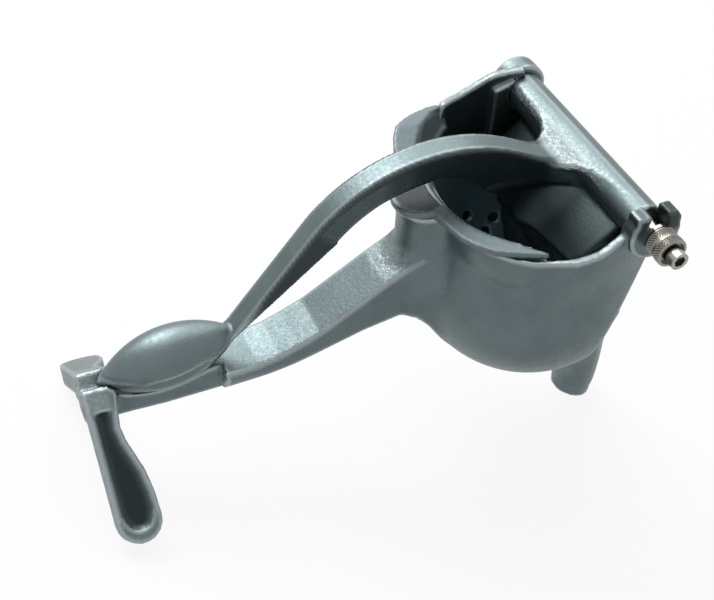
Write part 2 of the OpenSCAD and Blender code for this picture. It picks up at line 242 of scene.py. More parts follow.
# ears: the hub's and bosses' radii, half the room between the ears, and the play of the hub
hub_r, boss_r, ear_y, running_gap = 6.3, 8.8, 39.0, 0.35
far_boss_t, near_boss_t, slot_half, pin_hole_r = 7.6, 6.3, 3.15, 3.1
column_x, column_r = -56.0, 9.2
grip_x, grip_z, grip_half, grip_r, grip_rise = -143.4, -43.5, 24.5, 10.0, math.radians(9)


def back_plane(x, z):
    """The flat back of the cup, which leans out towards the foot."""
    return (x - back_x) * math.cos(back_slope) + z * math.sin(back_slope)


def corner_plane(x, y, z):
    """Flats that cut the corners of the back wall and draw it in towards the foot."""
    across = x * math.cos(corner_turn) + np.abs(y) * math.sin(corner_turn)
    return across * math.cos(corner_slope) - z * math.sin(corner_slope) - corner_out


def flange_lift(y):
    """The far side of the flange, and the rim under it, ride up towards the hinge."""
    return lift_height * ramp(y, lift_from, lift_over) ** 1.2


def cup_skin(x, y, z):
    """Outside of the cup: round, with a ball-shaped bottom and a flat back."""
    below = np.minimum(z - round_z, 0.0)
    ball = np.sqrt((x - cup_x) ** 2 + y ** 2 + below ** 2) - cup_r
    lip = np.sqrt((x - cup_x + lip_ahead) ** 2 + (y + lip_near) ** 2 + (z + lip_down) ** 2) - lip_r
    lip_fillet = 1.0 + 9.0 * ramp(x, -40.0, 14.0)
    ball = blend(ball, lip, lip_fillet)
    return ease(ease(ball, back_plane(x, z), 3.0), corner_plane(x, y, z), 1.6)


def spindle(x, y, z, grow):
    """Grip form, grown all round: an arc turned about a line that rises towards the pivot."""
    along = (x - grip_x) * math.cos(grip_rise) + (z - grip_z) * math.sin(grip_rise)
    off = np.hypot((z - grip_z) * math.cos(grip_rise) - (x - grip_x) * math.sin(grip_rise), y)
    big = (grip_half ** 2 + grip_r ** 2) / (2 * grip_r)
    return np.hypot(along, off + big - grip_r) - big - grow


handle_side = (
    [(-44, -22), (-60, -22.2), (-66, -24.5), (-72.6, -28.2), (-80, -33), (-94.7, -42.3), (-102, -45.5),
     (-109, -48.2), (-116, -49.6), (-122, stand_z), (stand_x, stand_z), (stand_x, -60), (-157, -60.3),
     (-146, -61), (-128, -60.4), (-113, -57.3), (-100, -53), (-79, -46.8), (-66, -44.3), (-60, -45.8),
     (-54, -51), (-44, -62)])


def leg_flat(x, y, z):
    """A leg on the +y side seen square on: its outline, the way down it, and the height over its face."""
    down = (y - stand_half) * math.cos(leg_splay) - (z - stand_z) * math.sin(leg_splay)
    over = (y - stand_half) * math.sin(leg_splay) + (z - stand_z) * math.cos(leg_splay)
    tongue = [(0, -7), (11.0, -7), (9.6, 1), (8.9, 6.5), (9.6, 11), (11.2, 16), (12.8, 21), (13.9, 28)]
    tongue += arc(leg_tip_r, leg_len - leg_tip_r, leg_tip_r, 0, 180, 9)
    return outline(x - stand_x, down, tongue), down, over


def leg_channel(flat, down):
    """Depth of the smooth channel down the near leg's face, which stops short of the tip."""
    rim = 0.8 + 2.4 * ramp(down, 33.0, 7.0)
    into = ramp(-flat, rim, 3.6)
    return channel_deep * into * into * (3.0 - 2.0 * into) * ramp(down, 0.4, 1.2)


def leg(x, y, z, channelled):
    """A splayed leg on the +y side: a tongue with a plain or a channelled face."""
    flat, down, over = leg_flat(x, y, z)
    body = plate(flat, over + leg_t / 2, leg_t / 2, 0.8)
    return ease(body, (over + leg_channel(flat, down)) * 0.9, 0.5) if channelled else body


def rim_height(x, y):
    """Top of the cup's wall: low at the front, then rising to the two bosses, and cut for the hub."""
    near_rim = np.interp(x, [-60, -25, -18, -10, -4, 0, 60], [rim_z, rim_z, -3.8, -0.5, 3.4, 3.4, 3.4])
    far_rim = np.interp(x, [-34, -26, -20, -12, -4], [4.0, 3.7, 4.9, 8.0, 9.0])
    under_flange = rim_z + 0.4 * flange_lift(y)
    far_rim = under_flange + (far_rim - under_flange) * ramp(x, -36.5, 2.5)
    rim = np.where(y < 0, near_rim, far_rim)
    return np.where(x > -1.0, np.minimum(rim, -hub_r - running_gap), rim)


def cup_shell(x, y, z, skin):
    """The cup's wall. It thins to an edge where the lip swells out from under the flange."""
    thinned = ramp(np.hypot(x + 40.5, y + 37.0), 15.6, -12.0) * ramp(z, -8.5, 3.5)
    return ease(ease(skin, -(skin + cup_wall - 1.8 * thinned), 0.6), z - rim_height(x, y), 0.9)


def handle_form(x, y, z):
    """The column under the tab, and the bar that grows out of it and widens into the stand."""
    column = np.hypot(x - column_x, y) - column_r - 1.6 * ramp(z, -12.0, 8.0) ** 2
    side = outline(x, z, handle_side)
    root = outline(x, z, [(-72, rim_z), (-44, rim_z), (-44, -62), (-54, -51), (-60, -45.8), (-72, -44.6)])
    column = ease(column, root, 1.2)
    half = np.interp(x, [-104, -112, -119, -127], [bar_half, 6.4, 8.3, stand_half])
    handle = ease(side, np.abs(y) - half, 1.4)
    under = (np.abs(y) - bar_half) * 0.81 - (z + 61.0) * 0.586
    handle = ease(handle, under, 2.0)
    return blend(handle, column, 5.0)


def foot_form(x, y, z):
    """The foot, and the web by which it spreads up the back wall."""
    stem = np.hypot(x - foot_x, y) - foot_r
    stem = ease(stem, z - (sole_z + 42), 6.0)
    spread = outline(y, z, [(-24, -38), (24, -38), (21.6, -60), (14, -80), (foot_r, -97), (3, -111),
                            (-3, -111), (-foot_r, -97), (-14, -80), (-21.6, -60)])
    back = back_plane(x, z)
    deep = np.interp(z, [-111, -92], [4.0, 8.0])
    web = ease(plate(spread, back + deep, deep, 3.0), back, 3.0)
    return blend(stem, web, 9.0)


def bosses(x, y, z):
    """A closed boss on the far side, and a boss with two prongs on the near side."""
    far_boss = rod(x, z, y, boss_r, ear_y, ear_y + far_boss_t, 0.9)
    near_boss = rod(x, z, y, boss_r, -ear_y - near_boss_t, -ear_y, 0.7)
    prong_side = outline(x, z, [(-7.5, 0), (8.2, 0), (8.2, 5.5), (6.6, 7.6), (-7.5, 7.6)])
    prongs = plate(prong_side, y + ear_y + near_boss_t / 2, near_boss_t / 2, 0.5)
    return np.minimum(far_boss, np.minimum(near_boss, prongs))


def pin_slot(x, y, z):
    """The slot between the prongs, through which the pin drops into the near ear."""
    slot = np.maximum(np.abs(x) - slot_half, -z)
    slot = np.maximum(np.minimum(slot, np.hypot(x, z) - pin_hole_r), y + ear_y - 2.0)
    return np.maximum(slot, -(y + ear_y + 9.0))


def cup_casting(points):
    """The whole casting: cup, handle, stand, foot and ears, then the cuts for grip, hub and pin."""
    x, y, z = upright(points)
    skin = cup_skin(x, y, z)
    hollow = -(skin + cup_wall * 0.6)
    form = blend(cup_shell(x, y, z, skin), ease(handle_form(x, y, z), hollow, 1.0), 5.0)
    legs = np.minimum(leg(x, y, z, False), leg(x, -y, z, True))
    form = blend(form, legs, 2.4)
    form = ease(form, -spindle(x, y, z, 0.45), 0.5)
    form = blend(form, ease(foot_form(x, y, z), hollow, 1.0), 5.0)
    post = plate(outline(x, z, [(-12.5, 3), (-4, 6), (-4, -44), (-12.5, -44)]), y - 38.2, 1.6, 0.8)
    form = blend(form, post, 0.8)
    form = blend(form, bosses(x, y, z), 0.8)
    form = ease(form, -rod(x, z, y, hub_r + running_gap, -ear_y, ear_y, 0.1), 0.3)
    form = ease(form, -pin_slot(x, y, z), 0.4)
    blind_hole = np.maximum(np.hypot(x, z) - pin_hole_r, np.abs(y - 41.0) - 3.6)
    form = ease(form, -blind_hole, 0.3)
    return ease(form, -1000.0 * points[:, 2], 0.4)


def sweep_grid(shape, low, high, cell):
    """Samples a shape on a grid, block by block, and finely only in the blocks near its surface."""
    block, chunk = 4, 400000
    size = [int(block * math.ceil((high[i] - low[i]) / cell / block)) + block for i in range(3)]
    axes = [low[i] - cell + cell * np.arange(size[i]) for i in range(3)]
    coarse_axes = [a[::block] + (block - 1) / 2 * cell for a in axes]
    grid = np.stack(np.meshgrid(*coarse_axes, indexing="ij"), -1)
    coarse = shape(grid.reshape(-1, 3)).reshape(grid.shape[:3])
    field = coarse.repeat(block, 0).repeat(block, 1).repeat(block, 2).astype(np.float32)
    near = np.argwhere(np.abs(field) < 1000.0 * cell * (block + 1.0))
    places = np.stack([axes[i][near[:, i]] for i in range(3)], -1)
    for part in range(0, len(near), chunk):
        n = near[part:part + chunk]
        field[n[:, 0], n[:, 1], n[:, 2]] = shape(places[part:part + chunk])
    return field, [a[0] for a in axes]


def skin_mesh(name, shape, finish, low, high, cell):
    """Turns a shape into an evenly faced closed mesh that lies on its surface.

    Three attributes go with it: worn, where it stands out; a painted shade mask,
    for where shade falls on the piece; and a sand and glint mask, where the
    coarse sand of the mould shows, with a painted glint."""
    nudge, reach = 0.05e-3, 1.2e-3
    field, start = sweep_grid(shape, low, high, cell)
    solid = field < 0
    size = np.array(field.shape)
    keys, spots, faces = [], [], []
    for axis in range(3):
        first = [slice(None)] * 3
        second = [slice(None)] * 3
        first[axis], second[axis] = slice(0, -1), slice(1, None)
        cross = np.argwhere(solid[tuple(first)] != solid[tuple(second)])
        step = np.eye(3, dtype=int)[axis]
        a = field[tuple(cross.T)]
        b = field[tuple((cross + step).T)]
        spot = cross + (a / (a - b))[:, None] * step
        one, two = np.eye(3, dtype=int)[(axis + 1) % 3], np.eye(3, dtype=int)[(axis + 2) % 3]
        ring = [cross - one - two, cross - two, cross, cross - one]
        ids = np.stack([np.ravel_multi_index(tuple(c.T), tuple(size)) for c in ring], -1)
        ids[a > 0] = ids[a > 0][:, ::-1]
        keys.append(ids.reshape(-1))
        spots.append(np.repeat(spot, 4, 0))
        faces.append(ids)
    keys, spots, faces = np.concatenate(keys), np.concatenate(spots), np.concatenate(faces)
    used, back = np.unique(keys, return_inverse=True)
    count = np.bincount(back)
    verts = np.stack([np.bincount(back, spots[:, i]) / count for i in range(3)], -1) * cell + np.array(start)
    for _ in range(3):
        value = shape(verts)
        slope = np.stack([shape(verts + d) - value for d in np.eye(3) * nudge], -1) / nudge
        move = (value / np.maximum((slope ** 2).sum(-1), 1e4))[:, None] * slope
        length = np.linalg.norm(move, axis=1, keepdims=True)
        verts -= move * np.minimum(1.0, 0.6 * cell / np.maximum(length, 1e-12))
    mesh = bpy.data.meshes.new(name)
    mesh.from_pydata(verts.tolist(), [], np.searchsorted(used, faces).tolist())
    mesh.validate()
    mesh.shade_smooth()
    # how far the surface stands out from what is around it within reach, for wear on edges
    value = shape(verts)
    around = sum(shape(verts + d) for s in (1, -1) for d in np.eye(3) * reach * s)
    worn = np.clip((around - 6 * value) / 1.6, -1.0, 1.0)
    mesh.attributes.new("worn", "FLOAT", "POINT").data.foreach_set("value", worn.astype(np.float32))
    # the finish gives two masks: painted shade, and sand with a painted glint
    for label, amount in zip(("painted_shade", "sand_and_glint"), finish(*upright(verts))):
        amount = np.clip(amount, 0.0, 1.0).astype(np.float32)
        mesh.attributes.new(label, "FLOAT", "POINT").data.foreach_set("value", amount)
    piece = bpy.data.objects.new(name, mesh)
    bpy.context.scene.collection.objects.link(piece)
    return piece


def reach_of(*nodes):
    """Lowest and highest corners of some nodes together, with a millimetre to spare."""
    boxes = [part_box(n) for n in nodes]
    return ([min(b[0][i] for b in boxes) - 0.001 for i in range(3)],
            [max(b[1][i] for b in boxes) + 0.001 for i in range(3)])


def cup_finish(x, y, z):
    """Painted shade: inside the cup, though not on the post, down the near leg's channel and on the prongs.

    Sand and glint: on the end of the stand, and where the handle grows out of the column, as grain with a
    painted glint."""
    inside = ramp(-cup_skin(x, y, z), 1.6, 0.8)
    post = ramp(y, 34.0, 2.0) * ramp(np.abs(x + 8.0), 6.0, -1.0)
    painted_shade = 0.5 * inside * (1.0 - post * ramp(z, -30.0, 30.0))
    flat, down, over = leg_flat(x, -y, z)
    painted_shade = np.maximum(painted_shade, 0.5 * leg_channel(flat, down) * (over > -3.0))
    prongs = ramp(y, -ear_y + 0.5, -0.5) * ramp(z, 0.5, 1.5)
    painted_shade = np.maximum(painted_shade, prongs * np.where(x > 0.0, 0.85, 0.35))
    stand_end = ramp(x, stand_x + 9.0, -2.0) * ramp(z, stand_z - 2.0, 2.0)
    root = ramp(np.hypot(np.hypot(x + 66.0, y), z + 25.0), 11.0, -11.0)
    return painted_shade, np.maximum(0.45 * stand_end, 0.7 * root)


fine = 0.0009
cup_nodes = ("cup", "far_ear", "near_ear", "column", "handle", "foot", "left_leg", "right_leg")
body = skin_mesh("cup_casting", cup_casting, cup_finish, *reach_of(*cup_nodes), fine)
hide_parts(*cup_nodes)
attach(body, "base")


def cast_aluminium(name, tint, roughness, grain_bump, bare):
    """Cast and tumbled aluminium: a satin grey, mottled, and brighter where its edges have worn.

    The tint holds the mottle's two tones and the tone of worn edges. Bare is the share of clean
    metal, and the rest is the dull film that aluminium grows in air."""
    material = new_material(name)
    tree = material.node_tree
    place = add(tree, "ShaderNodeTexCoord")
    # mottle of about 14 mm, grain of 1.1 mm and pits of 0.4 mm
    cloud = add(tree, "ShaderNodeTexNoise", [("Vector", place, "Object")], Scale=70.0, Detail=3.0)
    grain = add(tree, "ShaderNodeTexNoise", [("Vector", place, "Object")], Scale=900.0, Detail=4.0)
    pits = add(tree, "ShaderNodeTexNoise", [("Vector", place, "Object")], Scale=2600.0, Detail=2.0)
    tone = add(tree, "ShaderNodeValToRGB", [("Fac", cloud, "Fac")])
    for stop, position, hue in zip(tone.color_ramp.elements, (0.3, 0.7), tint):
        stop.position, stop.color = position, colour(hue)
    worn = add(tree, "ShaderNodeAttribute", attribute_name="worn")
    edge = add(tree, "ShaderNodeMapRange", [("Value", worn, "Fac")], From_Min=0.1, From_Max=0.7)
    worn_tone = add(tree, "ShaderNodeMix", [(0, edge, 0), (6, tone, "Color")], data_type="RGBA")
    worn_tone.inputs[7].default_value = colour(tint[2])
    # painted shade: a dark grey laid over the mask of where shade falls
    painted_shade = add(tree, "ShaderNodeAttribute", attribute_name="painted_shade")
    painted_shade_tone = add(tree, "ShaderNodeMix", [(0, painted_shade, "Fac"), (6, worn_tone, 2)], data_type="RGBA")
    painted_shade_tone.inputs[7].default_value = colour("#242d2e")
    # grit of the mould, 1.5 mm across: larger than real sand, so that it shows; its pale colour is a painted
    # glint
    sand_and_glint = add(tree, "ShaderNodeAttribute", attribute_name="sand_and_glint")
    sand = add(tree, "ShaderNodeTexNoise", [("Vector", place, "Object")], Scale=650.0, Detail=3.0)
    sand_height = add(tree, "ShaderNodeMath", [(0, sand, "Fac"), (1, sand_and_glint, "Fac")], operation="MULTIPLY")
    sand_glint_tone = add(tree, "ShaderNodeMix", [(0, sand_height, 0), (6, painted_shade_tone, 2)], data_type="RGBA")
    sand_glint_tone.inputs[7].default_value = colour("#b4bdbf")
    rough = add(tree, "ShaderNodeMapRange", [("Value", grain, "Fac")], From_Min=0.3, From_Max=0.7,
                To_Min=roughness - 0.06, To_Max=roughness + 0.08)
    bump = add(tree, "ShaderNodeBump", [("Height", pits, "Fac")], Strength=grain_bump, Distance=0.00012)
    bump = add(tree, "ShaderNodeBump", [("Height", grain, "Fac"), ("Normal", bump, "Normal")],
               Strength=grain_bump, Distance=0.0003)
    bump = add(tree, "ShaderNodeBump", [("Height", sand_height, 0), ("Normal", bump, "Normal")],
               Strength=0.9, Distance=0.0009)
    metal = add(tree, "ShaderNodeBsdfPrincipled", [("Roughness", rough, 0), ("Normal", bump, "Normal")],
                Metallic=bare)
    tree.links.new(sand_glint_tone.outputs[2], metal.inputs["Base Color"])
    add(tree, "ShaderNodeOutputMaterial", [("Surface", metal, 0)])
    return material


# Sand-cast aluminium, tumbled and left bare: a cool dark grey with a soft sheen and no clear
# reflections, and pale along every edge.
casting_metal = cast_aluminium("sand_cast_aluminium", ("#5d6a6c", "#687577", "#98a2a4"), 0.40, 0.25, 0.85)
body.data.materials.append(casting_metal)


# ---------------------------------------------------------------------------
# Strainer. A thin die-cast bowl that drops into the front of the cup and hangs
# on a crescent flange with a thumb tab. Its lower wall is drilled for juice.

sieve_r, sieve_wall, hole_r, mouth_r = 37.9, 2.2, 2.0, 36.0
flange_t, tab_x, tab_r, bevel_t = 2.0, -58.4, 9.3, 3.2
flange_plan = [(-60.0, 9.0), (-58.6, 16), (-57.6, 22.0), (-55.6, 26.9), (-53.0, 31.0), (-47.8, 34.3),
               (-42.6, 36.3), (-37.6, 36.7), (-33.0, 36.9), (-32.6, 35.6), (-34.6, 35.2), (-38.6, 34.0),
               (-42.1, 32.0), (-45.6, 28.0), (-50.6, 20.0), (-54, 8), (-54.9, -3.8), (-51.9, -13.5),
               (-47.9, -22.4), (-41.9, -29.6), (-36.2, -34.7), (-33.0, -38.6), (-33.6, -39.4), (-40.4, -36.3),
               (-48.2, -32.4), (-52.4, -27.6), (-55.1, -22.6), (-56.8, -15.9), (-58.4, -9.0)]
# holes: degrees round the bowl from its back by the far side, and degrees down from level
holes = ([(97.8, 14.7), (85.7, 27.9), (79.7, 19.5)] + [(a, 14) for a in range(124, 265, 28)]
         + [(a, 34) for a in range(110, 251, 28)] + [(a, 54) for a in range(96, 265, 42)])


def bowl(x, y, z, lift):
    """The sieve itself, with its mouth under the flange and its back edge in front of the hub."""
    below = np.minimum(z - round_z, 0.0)
    ball = np.sqrt((x - cup_x) ** 2 + y ** 2 + below ** 2) - sieve_r
    top = rim_z - 2.2 + lift - np.where(y < 0, 6.0, 17.0) * ramp(x, -34.0, 6.0)
    shell = ease(ease(ball, -(ball + sieve_wall), 0.6), z - top, 0.8)
    back_end = np.interp(z, [-80, -62, -45, -18, -11, -2], [-3.4, -3.6, -4.5, -6.0, -5.8, -5.1])
    return ease(shell, x - back_end, 0.5)


def flange_form(x, y, z, lift):
    """The crescent flange, with the thumb tab at its front."""
    tab = np.maximum(np.hypot(x - tab_x, y) - tab_r, -np.hypot(x - cup_x, y) + 41.0)
    plan = blend(outline(x, y, flange_plan), tab, 0.8)
    return plate(plan, z - lift - rim_z - flange_t / 2, flange_t / 2, 0.5)


def throat_form(x, y, z, lift):
    """A bevel that runs out from the bowl's mouth to the flange, wider on the far side."""
    radial = np.hypot(x - cup_x, y)
    top_r = np.interp(y, [-10, 16], [40.2, 42.4])
    throat = mouth_r + (top_r - mouth_r) * ramp(z - lift, -8.0, 5.5)
    bevel = np.maximum(np.maximum(throat - radial, radial - throat - bevel_t), y - 37.2)
    bevel = ease(ease(bevel, z - lift - rim_z - flange_t, 0.4), rim_z - 4.5 - z + lift, 0.4)
    return ease(bevel, x + np.interp(y, [-10, 10], [39.0, 33.0]), 0.4)


def strainer_form(points):
    """The whole strainer: bowl, flange and throat, then the drilled holes."""
    x, y, z = upright(points)
    lift = flange_lift(y)
    form = blend(bowl(x, y, z, lift), flange_form(x, y, z, lift), 0.6)
    form = blend(form, throat_form(x, y, z, lift), 0.1)
    for turn, down in holes:
        a, b = math.radians(turn), math.radians(down)
        d = (math.cos(a) * math.cos(b), math.sin(a) * math.cos(b), -math.sin(b))
        along = (x - cup_x) * d[0] + y * d[1] + (z - round_z) * d[2]
        off = np.sqrt(np.maximum((x - cup_x) ** 2 + y ** 2 + (z - round_z) ** 2 - along ** 2, 0.0))
        form = ease(form, -np.maximum(off - hole_r, 20.0 - along), 0.3)
    return form


def strainer_finish(x, y, z):
    """Painted shade: the throat on the far side, the middle of the tab, and less so the flange, where it
    tones back the lightened base. Sand and glint: nowhere.
    """
    throat = ramp(outline(x, y, flange_plan), 0.5, 0.6) * (z > -14.0)
    throat = throat * ramp(y, 2.0, 6.0) * (x > -56.0)
    tab = ramp(np.hypot(x - tab_x, y), 8.6, -1.2) * (x < -51.0)
    # painted shade on the flange, to tone back the lightened base
    flange = 0.68 * ramp(z - flange_lift(y), rim_z - 1.5, 0.8)
    return np.maximum(np.maximum(flange, 0.95 * throat), tab), 0.0 * x


strainer = skin_mesh("strainer", strainer_form, strainer_finish, *reach_of("strainer"), fine)
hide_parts("strainer")
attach(strainer, "base")

# Die-cast aluminium, finer in its grain than the sand casting. Its base is pale as painted light for the
# shaded bowl, and painted shade tones the flange back. Only half of it is bare metal, so its sheen is broad
# and milky.
strainer_metal = cast_aluminium("die_cast_aluminium", ("#8aa0a7", "#98adb3", "#afbec2"), 0.44, 0.2, 0.5)
strainer.data.materials.append(strainer_metal)


# ---------------------------------------------------------------------------
# Lever casting. One piece: the hub that turns on the pin, the fan and arched
# arm, the press head under them, and the grip. The hub and fan keep the sand's
# grain, coloured with a painted glint, and the arm's sides show the parting line of the mould.

arch_x, arch_z, arch_r, arm_t = -52.5, -41.0, 57.0, 10.2
hollow_x, hollow_z, hollow_r, web_z = -76.1, -54.7, 65.1, -4.1
straight_start, straight_end = (-95.5, -3.6), (-121.84, -37.5)
head_r, head_gap, lever_bore_r = 47.8, 4.6, 3.08
arm_side = ([(0, 3.2), (-8, 2.6), (-13, 2.8)] + arc(arch_x, arch_z, arch_r, 53, 139, 30)
            + [straight_end, (straight_end[0] - 7, straight_end[1] - 8)]
            + arc(arch_x, arch_z, arch_r - arm_t, 139, 92, 20) + arc(hollow_x, hollow_z, hollow_r, 67, 51, 8)
            + [(0, web_z)])
fan_plan = [(2, 38.6), (-4.6, 38.6), (-5.1, 25.6), (-5.5, 20), (-6.5, 15.6), (-8.6, 11.4), (-12, 8),
            (-17.4, 5.2), (-34, 2.6), (-34, -2.6), (-17.4, -5.4), (-12, -8.4), (-8.1, -10.4), (-5.4, -14.5),
            (-3.8, -20), (-2.0, -30), (-1.0, -38.6), (2, -38.6)]
fan_side = [(0, 5.8), (-5, 4.4), (-14, 3.8), (-20, 5.8), (-34, 10.4), (-34, 4), (-24, web_z), (0, web_z)]
head_side = [(hollow_x, -3), (hollow_x, -60), (20, -60), (20, -6), (-4, -3), (-30, -2.2)]
keel_side = [(-167.5, -44.5), (-166, -47), (-160, -50.2), (-150, -52.6), (-141, -53.2), (-131, -51.4),
             (-122, -46.5), (-116, -39.4), (-113, -33), (-128, -42)]


def arm_form(x, y, z):
    """The arched arm. It is a little narrower below the parting line, which follows its top edge."""
    from_arch = arch_r - np.hypot(x - arch_x, z - arch_z)
    fall_x, fall_z = straight_end[0] - straight_start[0], straight_end[1] - straight_start[1]
    past_x, past_z = x - straight_start[0], z - straight_start[1]
    from_straight = (past_x * fall_z - past_z * fall_x) / math.hypot(fall_x, fall_z)
    depth = np.where(x < straight_start[0] - 1.2 * past_z, from_straight, from_arch)
    step = 0.55 * ramp(depth, 2.2, 0.5) * ramp(x, -64.0, -10.0)
    return ease(outline(x, z, arm_side), np.abs(y) - bar_half + step, 1.3)


def scoop(x, y, z):
    """The hollow in front of the head, ploughed back to each side of the web."""
    back_cut = np.interp(z, [-46, -34, -24, -14], [0.5, 0.42, 0.22, 0.06])
    aside = x - np.maximum(np.abs(y) - bar_half, 0.0) * back_cut
    return hollow_r - np.hypot(aside - hollow_x, z - hollow_z)


def head_form(x, y, z):
    """The press head: a hollowed web under the arm that spreads into two sloping shoulders."""
    head_box = outline(x, z, head_side)
    web = ease(head_box, hollow_r - np.hypot(x - hollow_x, z - hollow_z), 1.0)
    web = ease(web, np.abs(y) - bar_half, 0.8)
    shoulder = -0.664 * x + 0.119 * np.abs(y) + 0.738 * z - 2.6
    head = ease(ease(head_box, scoop(x, y, z), 1.6), shoulder, 1.6)
    head = blend(head, web, 10.0)
    half_width = np.interp(np.hypot(x, z), [0, 22, 31, 39, 45, 48], [32, 32, 29, 22.5, 12, 3])
    head = ease(head, np.abs(y) - half_width, 3.0)
    head = ease(head, np.hypot(x, z) - head_r, 2.0)
    head = ease(head, back_plane(x, z) + head_gap, 3.0)
    return ease(head, corner_plane(x, y, z) + head_gap, 3.0)


def grip_form(x, y, z):
    """The grip: a round top, and under it a keel that lies in the handle's pocket."""
    top = ease(spindle(x, y, z - 0.3, -0.4), -(z - grip_z + 0.9 - (x - grip_x) * 0.16), 0.8)
    keel = ease(plate(outline(x, z, keel_side), y, 8.0, 1.5), spindle(x, y, z, -0.15), 0.8)
    return blend(top, ease(keel, np.abs(y) - 8.2, 0.8), 0.5)


def lever_casting(points):
    """The whole casting: arm, fan, hub, press head and grip, then the bore for the pin."""
    x, y, z = upright(points)
    fan = ease(outline(x, y, fan_plan), outline(x, z, fan_side), 1.6)
    hub = rod(x, z, y, hub_r, -ear_y + running_gap, ear_y - running_gap, 0.6)
    form = blend(blend(arm_form(x, y, z), fan, 2.5), hub, 1.6)
    form = blend(form, head_form(x, y, z), 1.5)
    form = blend(form, grip_form(x, y, z), 1.2)
    return ease(form, lever_bore_r - np.hypot(x, z), 0.3)


def lever_finish(x, y, z):
    """Painted shade: on the arm's sides, and on the head, which hangs inside the cup under the arm.

    Sand and glint: the top of the hub and fan, but for the near end, as grain with a painted glint."""
    sides = ramp(np.abs(y), bar_half - 0.9, 0.6) * ramp(np.abs(y), bar_half + 4.5, -3.0)
    sides = sides * ramp(x, -4.0, -12.0) * ramp(x, -120.0, 8.0)
    under = ramp(z, web_z + 1.5, -2.0) * ramp(x, -50.0, 10.0)
    hung = np.where(y > 4.0, 0.95, np.interp(x, [-16, -10, -5], [0.95, 0.6, 0.3]))
    sand_and_glint = ramp(np.abs(x + 8.5), 5.2, -4.0) * ramp(z, 1.0, 1.0) * ramp(y, -24.0, 8.0)
    return np.maximum(0.85 * sides, under * hung), sand_and_glint


lever_nodes = ("lever_hub", "lever_arm", "press_head", "grip")
lever = skin_mesh("lever_casting", lever_casting, lever_finish, *reach_of(*lever_nodes), fine)
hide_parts(*lever_nodes)
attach(lever, "lever")
lever.data.materials.append(casting_metal)


# ---------------------------------------------------------------------------
# Pivot hardware. A polished steel pin with a socket in its end, and a plain collar.

def turned_metal(name, tint, roughness):
    """Turned metal: smooth, with faint rings left by the lathe."""
    material = new_material(name)
    tree = material.node_tree
    place = add(tree, "ShaderNodeTexCoord")
    # rings about 0.35 mm apart, wider than a real cut leaves them, so that they show
    rings = add(tree, "ShaderNodeTexWave", [("Vector", place, "Object")], Scale=900.0, Distortion=0.6,
                bands_direction="Y")
    bump = add(tree, "ShaderNodeBump", [("Height", rings, "Fac")], Strength=0.08, Distance=0.0001)
    metal = add(tree, "ShaderNodeBsdfPrincipled", [("Normal", bump, "Normal")],
                Metallic=1.0, Roughness=roughness, Base_Color=colour(tint))
    add(tree, "ShaderNodeOutputMaterial", [("Surface", metal, 0)])
    return material


# Ground and polished steel: a neutral grey with small crisp highlights.
pin_metal = turned_metal("polished_steel", "#9d9b97", 0.2)
for node in ("pivot_pin", "pin_collar"):
    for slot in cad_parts[node].material_slots:
        slot.material = pin_metal


# ---------------------------------------------------------------------------
# Clamp nut. Nickel-plated, turned with two bands and a groove between them, then
# knurled: each band carries rows of small pressed diamonds.

# Nickel plate: a warmer grey than the steel, which glints from every diamond.
nut_metal = turned_metal("nickel_plate", "#8e8c86", 0.28)
nut_r, nut_bore_r, band_len, groove, nut_y = 5.2, 3.05, 3.3, 0.8, -46.9
knurl_count, knurl_rows, knurl_depth = 34, 4, 0.5
root_r, groove_r, recess_r, recess_deep = nut_r - knurl_depth, nut_r - 0.6, 3.95, 1.4
band_two, nut_len = band_len + groove, 2 * band_len + groove

# turned profile, as radius and distance from the end by the ear
profile = [(nut_bore_r, 0.0), (nut_r - 0.5, 0.0), (root_r, 0.3), (root_r, band_len - 0.2),
           (groove_r, band_len), (groove_r, band_two), (root_r, band_two + 0.2), (root_r, nut_len - 0.5),
           (nut_r - 0.1, nut_len - 0.4), (nut_r - 0.5, nut_len), (recess_r + 0.15, nut_len),
           (recess_r, nut_len - 0.2), (recess_r, nut_len - recess_deep), (nut_bore_r, nut_len - recess_deep)]
turns = 60
ring = [2 * math.pi * i / turns for i in range(turns)]
spots = [((pin_place[0] + r * math.cos(a)) / 1000, (pin_place[1] + nut_y - d) / 1000,
          (pin_place[2] + r * math.sin(a)) / 1000) for r, d in profile for a in ring]
around = len(profile)
quads = [(i * turns + j, i * turns + (j + 1) % turns, ((i + 1) % around) * turns + (j + 1) % turns,
          ((i + 1) % around) * turns + j) for i in range(around) for j in range(turns)]
core = bpy.data.meshes.new("clamp_nut_knurled")
core.from_pydata(spots, [], quads)
nut = bpy.data.objects.new("clamp_nut_knurled", core)
bpy.context.scene.collection.objects.link(nut)
core.materials.append(nut_metal)

# knurl tree: points wound round the barrel in staggered rows, a diamond on each
knurl = bpy.data.node_groups.new("knurl_diamonds", "GeometryNodeTree")
knurl.interface.new_socket("Geometry", in_out="INPUT", socket_type="NodeSocketGeometry")
for label, kind in (("Radius", "Float"), ("Length", "Float"), ("Start", "Float"), ("Count", "Int"),
                    ("Rows", "Int"), ("Depth", "Float")):
    knurl.interface.new_socket(label, in_out="INPUT", socket_type="NodeSocket" + kind)
knurl.interface.new_socket("Centre", in_out="INPUT", socket_type="NodeSocketVector")
knurl.interface.new_socket("Material", in_out="INPUT", socket_type="NodeSocketMaterial")
knurl.interface.new_socket("Geometry", in_out="OUTPUT", socket_type="NodeSocketGeometry")
given = add(knurl, "NodeGroupInput")

